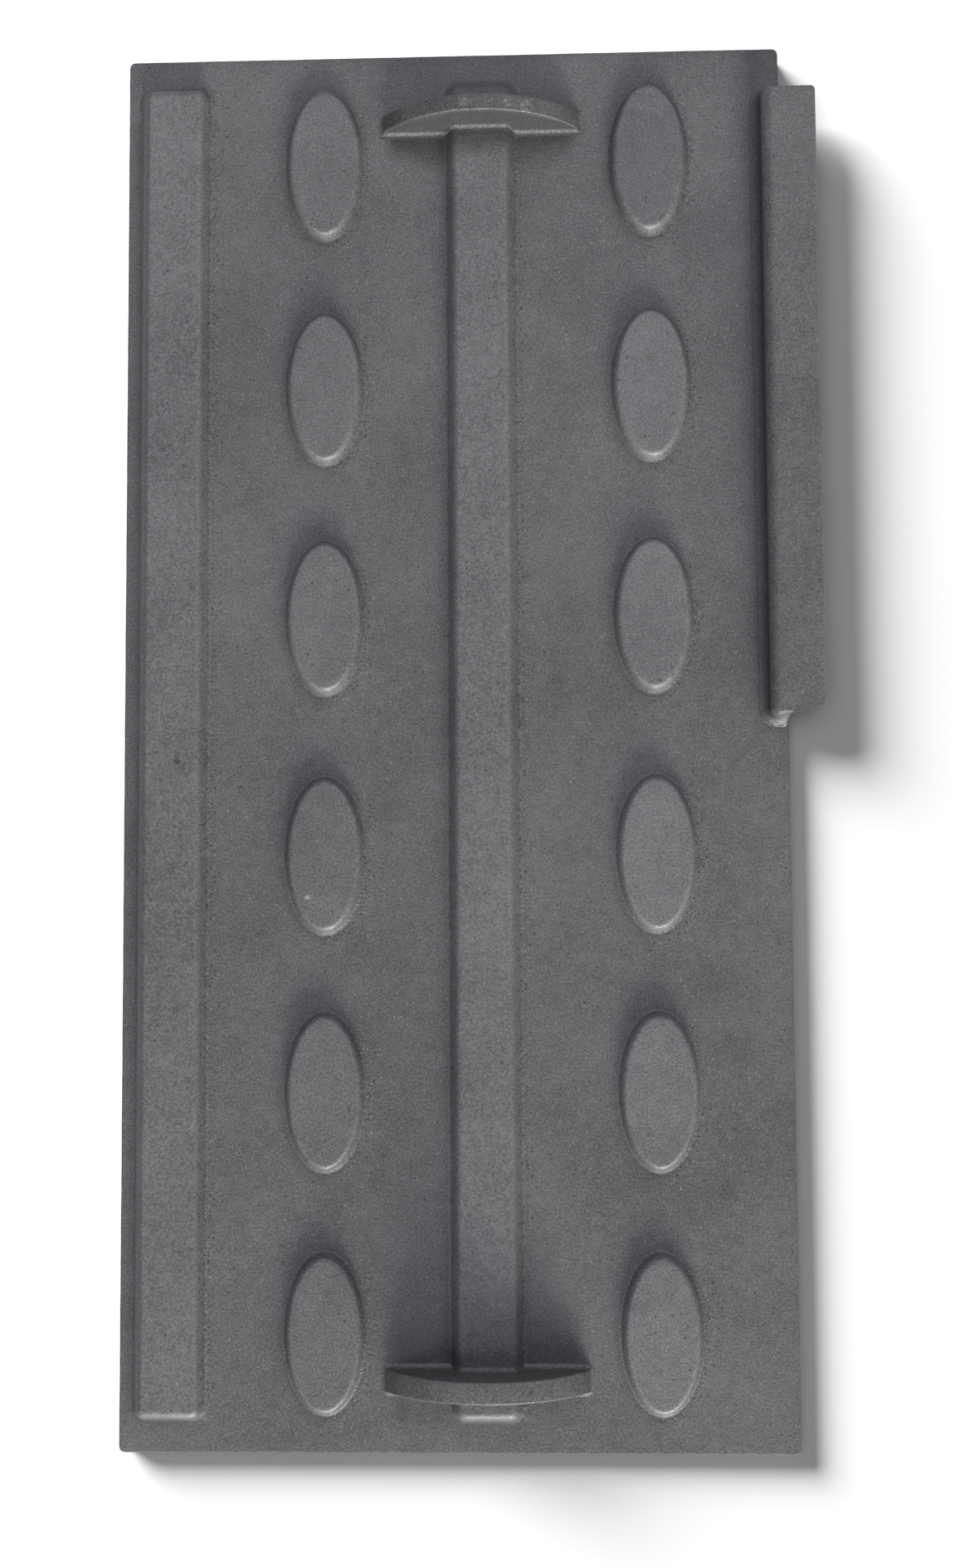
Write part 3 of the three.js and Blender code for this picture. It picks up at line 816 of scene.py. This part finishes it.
tones = ironLook["tones"]
iron = {
    "plate": castIron("plateIron", tones["plate"], plateMarks),
    "ribs": castIron("ribIron", tones["ribs"], barMarks),
    "leftPads": castIron("leftPadIron", tones["leftPads"], leftPadMarks),
    "rightPads": castIron("rightPadIron", tones["rightPads"], rightPadMarks),
    "lugs": castIron("lugIron", tones["lugs"], lugMarks, lugBare, bareFootAndGlint=0.7),
    "lip": castIron("lipIron", tones["lip"], bareFootAndGlint=0.5),
}
print("materials ready:", len(iron))

pieces = [
    addPiece("plate", *plateSurface(), "base_plate", "plate", iron["plate"]),
    addPiece("leftBar", *barSurface(barLook["leftBar"]), "left_bar", "ribs", iron["ribs"]),
    addPiece("centreRib", *barSurface(barLook["centreRib"]), "centre_rib", "ribs", iron["ribs"]),
    addPiece("topLug", *lugSurface(lugLook["topLug"]), "top_lug", "lugs", iron["lugs"]),
    addPiece("bottomLug", *lugSurface(lugLook["bottomLug"]), "bottom_lug", "lugs", iron["lugs"]),
    addPiece("lip", *lipSurface(), "edge_lip", "lip", iron["lip"]),
]
for side, padX in padLook["columns"].items():
    for row, padY in enumerate(padLook["rows"], start=1):
        surface = padSurface(padX, padY)
        pieces.append(addPiece(f"{side}Pad{row}", *surface, f"{side}_pad_{row}", "pads", iron[side + "Pads"]))

# Pale floor, its size in metres, and the lights. A softbox is the way to it, in degrees anticlockwise
# from the right and up from the floor, its breadth in degrees, and its strength. The key lamps graze
# the back from the foot of the picture. The floor has two lamps of its own: one from the upper left
# throws the plate's shadow, and one from overhead lightens it.
studioLook = {
    "floorGrey": 188, "floorSize": 6.0, "sky": 0.09, "skyColour": (0.96, 0.95, 1.04),
    "keyColour": (0.985, 0.995, 0.925), "fillColour": (0.985, 0.968, 1.045), "floorColour": (1.0, 1.0, 1.0),
    "softboxes": {
        "key": (-80, 15, 16, 2.7), "keySide": (-60, 15, 16, 0.8), "lowerLeft": (-135, 48, 24, 0.58),
        "low": (-105, 30, 24, 0.32), "right": (-30, 30, 24, 0.22), "upperRight": (45, 48, 24, 0.43),
        "top": (98, 48, 24, 0.45),
    },
    "floorLamps": {"floorMain": (135, 24, 34, 13.4), "floorFill": (0, 90, 60, 1.1)},
}


def buildFloor():
    # Square of pale paint that the plate lies on.
    half = studioLook["floorSize"] / 2
    mesh = bpy.data.meshes.new("floor")
    corners = [(-half, -half, 0), (half, -half, 0), (half, half, 0), (-half, half, 0)]
    mesh.from_pydata(corners, [], [(0, 1, 2, 3)])
    floor = bpy.data.objects.new("floor", mesh)
    bpy.context.scene.collection.objects.link(floor)
    paint = bpy.data.materials.new("paleFloor")
    paint.use_nodes = True
    shader = paint.node_tree.nodes["Principled BSDF"]
    shader.inputs["Base Color"].default_value = grey(studioLook["floorGrey"])
    shader.inputs["Roughness"].default_value = 1.0
    shader.inputs["Specular IOR Level"].default_value = 0.0
    mesh.materials.append(paint)
    return floor


def addSoftbox(name, colour, across, up, breadth, strength, objects):
    # A sun lamp from a direction given by two angles, kept to the objects that it is meant for.
    data = bpy.data.lights.new(name, "SUN")
    data.energy = strength
    data.angle = math.radians(breadth)
    data.color = studioLook[colour]
    lamp = bpy.data.objects.new(name, data)
    lamp.rotation_euler = (math.radians(90 - up), 0, math.radians(across + 90))
    bpy.context.scene.collection.objects.link(lamp)
    group = bpy.data.collections.new(name)
    for item in objects:
        group.objects.link(item)
    lamp.light_linking.receiver_collection = group


floor = buildFloor()
scene = bpy.context.scene
for name, lamp in studioLook["softboxes"].items():
    addSoftbox(name, "keyColour" if name.startswith("key") else "fillColour", *lamp, pieces)
for name, lamp in studioLook["floorLamps"].items():
    addSoftbox(name, "floorColour", *lamp, [floor])
world = bpy.data.worlds.new("studio")
world.use_nodes = True
background = world.node_tree.nodes["Background"]
background.inputs["Color"].default_value = (*studioLook["skyColour"], 1.0)
background.inputs["Strength"].default_value = studioLook["sky"]
scene.world = world
scene.view_settings.view_transform = "Standard"
print("studio ready")

# Camera almost straight above, 6 cm off the middle and turned a few degrees. Places and lens in mm.
cameraLook = {
    "place": (23.025, -55.972, 576.237), "turn": (4.12225, 2.09912, -0.32333), "lens": 42.910, "sensor": 36.0,
    "nearest": 10,
}
cameraData = bpy.data.cameras.new("camera")
cameraData.lens = cameraLook["lens"]
cameraData.sensor_width = cameraLook["sensor"]
cameraData.sensor_fit = "AUTO"
cameraData.clip_start = cameraLook["nearest"] * metre
camera = bpy.data.objects.new("camera", cameraData)
camera.location = [value * metre for value in cameraLook["place"]]
camera.rotation_euler = [math.radians(value) for value in cameraLook["turn"]]
scene.collection.objects.link(camera)
scene.camera = camera

bpy.context.view_layer.update()
